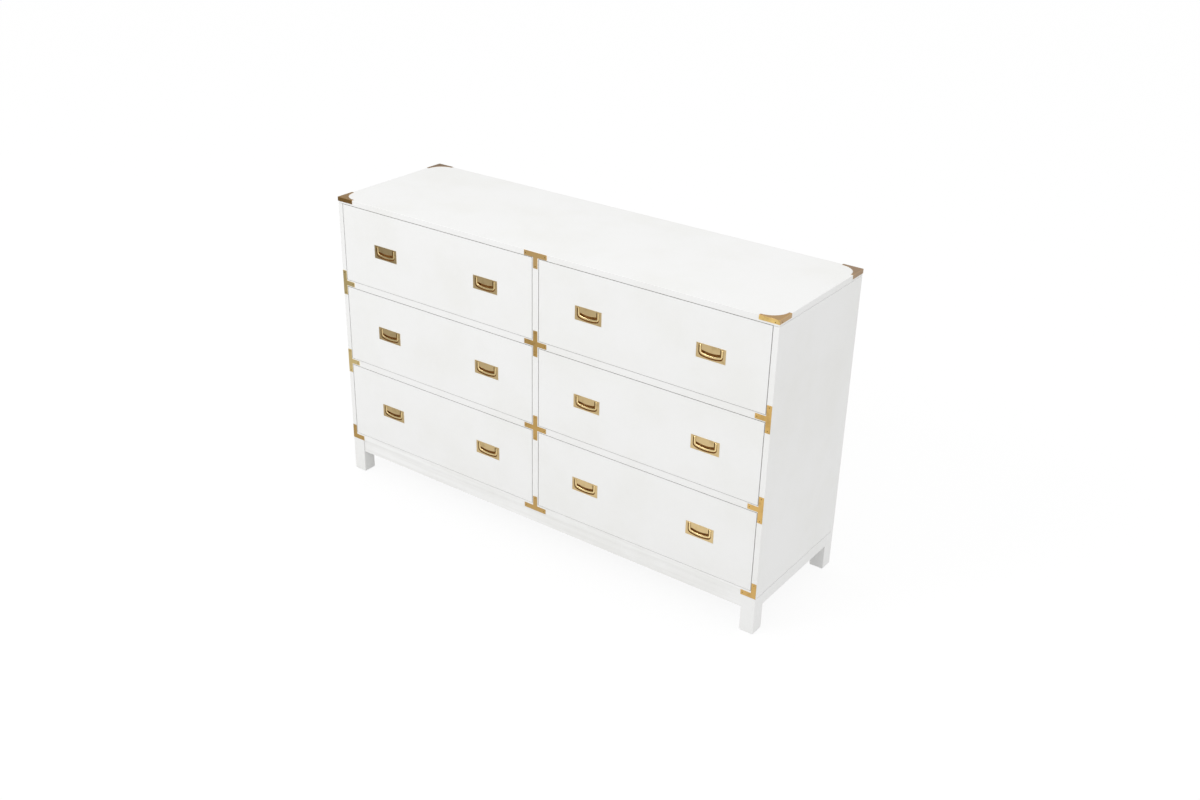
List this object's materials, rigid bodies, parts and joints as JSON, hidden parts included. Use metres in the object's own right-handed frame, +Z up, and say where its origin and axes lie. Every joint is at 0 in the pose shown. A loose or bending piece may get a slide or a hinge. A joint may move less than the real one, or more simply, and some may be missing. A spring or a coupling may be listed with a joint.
{
  "type": "campaign chest",
  "caption": "White painted campaign chest of drawers with inset drawers, flush pulls with drop bails, brass-coloured corner brackets and straps, on a low base with square legs",
  "frame": {"origin": "on the floor, under the middle of the chest", "axes": "X to the right as seen from the front, Y to the back, Z up"},
  "size_m": [1.5248, 0.4578, 0.938],
  "materials": {
    "white_paint": "satin white paint over smooth board",
    "back_board": "thin sealed board, off-white",
    "drawer_wood": "pale wood, clear lacquer",
    "satin_brass": "satin brass",
    "slide_steel": "zinc plated steel"
  },
  "bodies": {
    "case": {"top_panel": "white_paint", "left_side_panel": "white_paint", "right_side_panel": "white_paint", "centre_partition": "white_paint", "bottom_panel": "white_paint", "drawer_rails": "white_paint", "legs": "white_paint", "front_apron": "white_paint", "back_apron": "white_paint", "left_apron": "white_paint", "right_apron": "white_paint", "back_panel": "back_board", "tee_straps": "satin_brass", "cross_straps": "satin_brass", "corner_straps": "satin_brass", "top_corner_brackets": "satin_brass", "strap_pins": "satin_brass", "runner_channels": "slide_steel"},
    "bottom_left_drawer": {"bottom_left_drawer_front": "white_paint", "bottom_left_drawer_walls": "drawer_wood", "bottom_left_drawer_bottom": "drawer_wood", "bottom_left_runners": "slide_steel", "bottom_left_pull_plates": "satin_brass"},
    "bottom_left_left_handle": {"bottom_left_left_bail": "satin_brass"},
    "bottom_left_right_handle": {"bottom_left_right_bail": "satin_brass"},
    "bottom_right_drawer": {"bottom_right_drawer_front": "white_paint", "bottom_right_drawer_walls": "drawer_wood", "bottom_right_drawer_bottom": "drawer_wood", "bottom_right_runners": "slide_steel", "bottom_right_pull_plates": "satin_brass"},
    "bottom_right_left_handle": {"bottom_right_left_bail": "satin_brass"},
    "bottom_right_right_handle": {"bottom_right_right_bail": "satin_brass"},
    "middle_left_drawer": {"middle_left_drawer_front": "white_paint", "middle_left_drawer_walls": "drawer_wood", "middle_left_drawer_bottom": "drawer_wood", "middle_left_runners": "slide_steel", "middle_left_pull_plates": "satin_brass"},
    "middle_left_left_handle": {"middle_left_left_bail": "satin_brass"},
    "middle_left_right_handle": {"middle_left_right_bail": "satin_brass"},
    "middle_right_drawer": {"middle_right_drawer_front": "white_paint", "middle_right_drawer_walls": "drawer_wood", "middle_right_drawer_bottom": "drawer_wood", "middle_right_runners": "slide_steel", "middle_right_pull_plates": "satin_brass"},
    "middle_right_left_handle": {"middle_right_left_bail": "satin_brass"},
    "middle_right_right_handle": {"middle_right_right_bail": "satin_brass"},
    "top_left_drawer": {"top_left_drawer_front": "white_paint", "top_left_drawer_walls": "drawer_wood", "top_left_drawer_bottom": "drawer_wood", "top_left_runners": "slide_steel", "top_left_pull_plates": "satin_brass"},
    "top_left_left_handle": {"top_left_left_bail": "satin_brass"},
    "top_left_right_handle": {"top_left_right_bail": "satin_brass"},
    "top_right_drawer": {"top_right_drawer_front": "white_paint", "top_right_drawer_walls": "drawer_wood", "top_right_drawer_bottom": "drawer_wood", "top_right_runners": "slide_steel", "top_right_pull_plates": "satin_brass"},
    "top_right_left_handle": {"top_right_left_bail": "satin_brass"},
    "top_right_right_handle": {"top_right_right_bail": "satin_brass"}
  },
  "joints": [
    {"name": "bottom_left_drawer_slide", "type": "slide", "parent": "case", "child": "bottom_left_drawer", "axis": [0, -1, 0], "range_m": [0, 0.3]},
    {"name": "bottom_left_left_handle_swing", "type": "hinge", "parent": "bottom_left_drawer", "child": "bottom_left_left_handle", "pos_m": [-0.57237, -0.22575, 0.27552], "axis": [-1, 0, 0], "range_deg": [0, 90]},
    {"name": "bottom_left_right_handle_swing", "type": "hinge", "parent": "bottom_left_drawer", "child": "bottom_left_right_handle", "pos_m": [-0.18238, -0.22575, 0.27552], "axis": [-1, 0, 0], "range_deg": [0, 90]},
    {"name": "bottom_right_drawer_slide", "type": "slide", "parent": "case", "child": "bottom_right_drawer", "axis": [0, -1, 0], "range_m": [0, 0.3]},
    {"name": "bottom_right_left_handle_swing", "type": "hinge", "parent": "bottom_right_drawer", "child": "bottom_right_left_handle", "pos_m": [0.18238, -0.22575, 0.27552], "axis": [-1, 0, 0], "range_deg": [0, 90]},
    {"name": "bottom_right_right_handle_swing", "type": "hinge", "parent": "bottom_right_drawer", "child": "bottom_right_right_handle", "pos_m": [0.57237, -0.22575, 0.27552], "axis": [-1, 0, 0], "range_deg": [0, 90]},
    {"name": "middle_left_drawer_slide", "type": "slide", "parent": "case", "child": "middle_left_drawer", "axis": [0, -1, 0], "range_m": [0, 0.3]},
    {"name": "middle_left_left_handle_swing", "type": "hinge", "parent": "middle_left_drawer", "child": "middle_left_left_handle", "pos_m": [-0.57237, -0.22575, 0.54285], "axis": [-1, 0, 0], "range_deg": [0, 90]},
    {"name": "middle_left_right_handle_swing", "type": "hinge", "parent": "middle_left_drawer", "child": "middle_left_right_handle", "pos_m": [-0.18238, -0.22575, 0.54285], "axis": [-1, 0, 0], "range_deg": [0, 90]},
    {"name": "middle_right_drawer_slide", "type": "slide", "parent": "case", "child": "middle_right_drawer", "axis": [0, -1, 0], "range_m": [0, 0.3]},
    {"name": "middle_right_left_handle_swing", "type": "hinge", "parent": "middle_right_drawer", "child": "middle_right_left_handle", "pos_m": [0.18238, -0.22575, 0.54285], "axis": [-1, 0, 0], "range_deg": [0, 90]},
    {"name": "middle_right_right_handle_swing", "type": "hinge", "parent": "middle_right_drawer", "child": "middle_right_right_handle", "pos_m": [0.57237, -0.22575, 0.54285], "axis": [-1, 0, 0], "range_deg": [0, 90]},
    {"name": "top_left_drawer_slide", "type": "slide", "parent": "case", "child": "top_left_drawer", "axis": [0, -1, 0], "range_m": [0, 0.3]},
    {"name": "top_left_left_handle_swing", "type": "hinge", "parent": "top_left_drawer", "child": "top_left_left_handle", "pos_m": [-0.57237, -0.22575, 0.81018], "axis": [-1, 0, 0], "range_deg": [0, 90]},
    {"name": "top_left_right_handle_swing", "type": "hinge", "parent": "top_left_drawer", "child": "top_left_right_handle", "pos_m": [-0.18238, -0.22575, 0.81018], "axis": [-1, 0, 0], "range_deg": [0, 90]},
    {"name": "top_right_drawer_slide", "type": "slide", "parent": "case", "child": "top_right_drawer", "axis": [0, -1, 0], "range_m": [0, 0.3]},
    {"name": "top_right_left_handle_swing", "type": "hinge", "parent": "top_right_drawer", "child": "top_right_left_handle", "pos_m": [0.18238, -0.22575, 0.81018], "axis": [-1, 0, 0], "range_deg": [0, 90]},
    {"name": "top_right_right_handle_swing", "type": "hinge", "parent": "top_right_drawer", "child": "top_right_right_handle", "pos_m": [0.57237, -0.22575, 0.81018], "axis": [-1, 0, 0], "range_deg": [0, 90]}
  ]
}
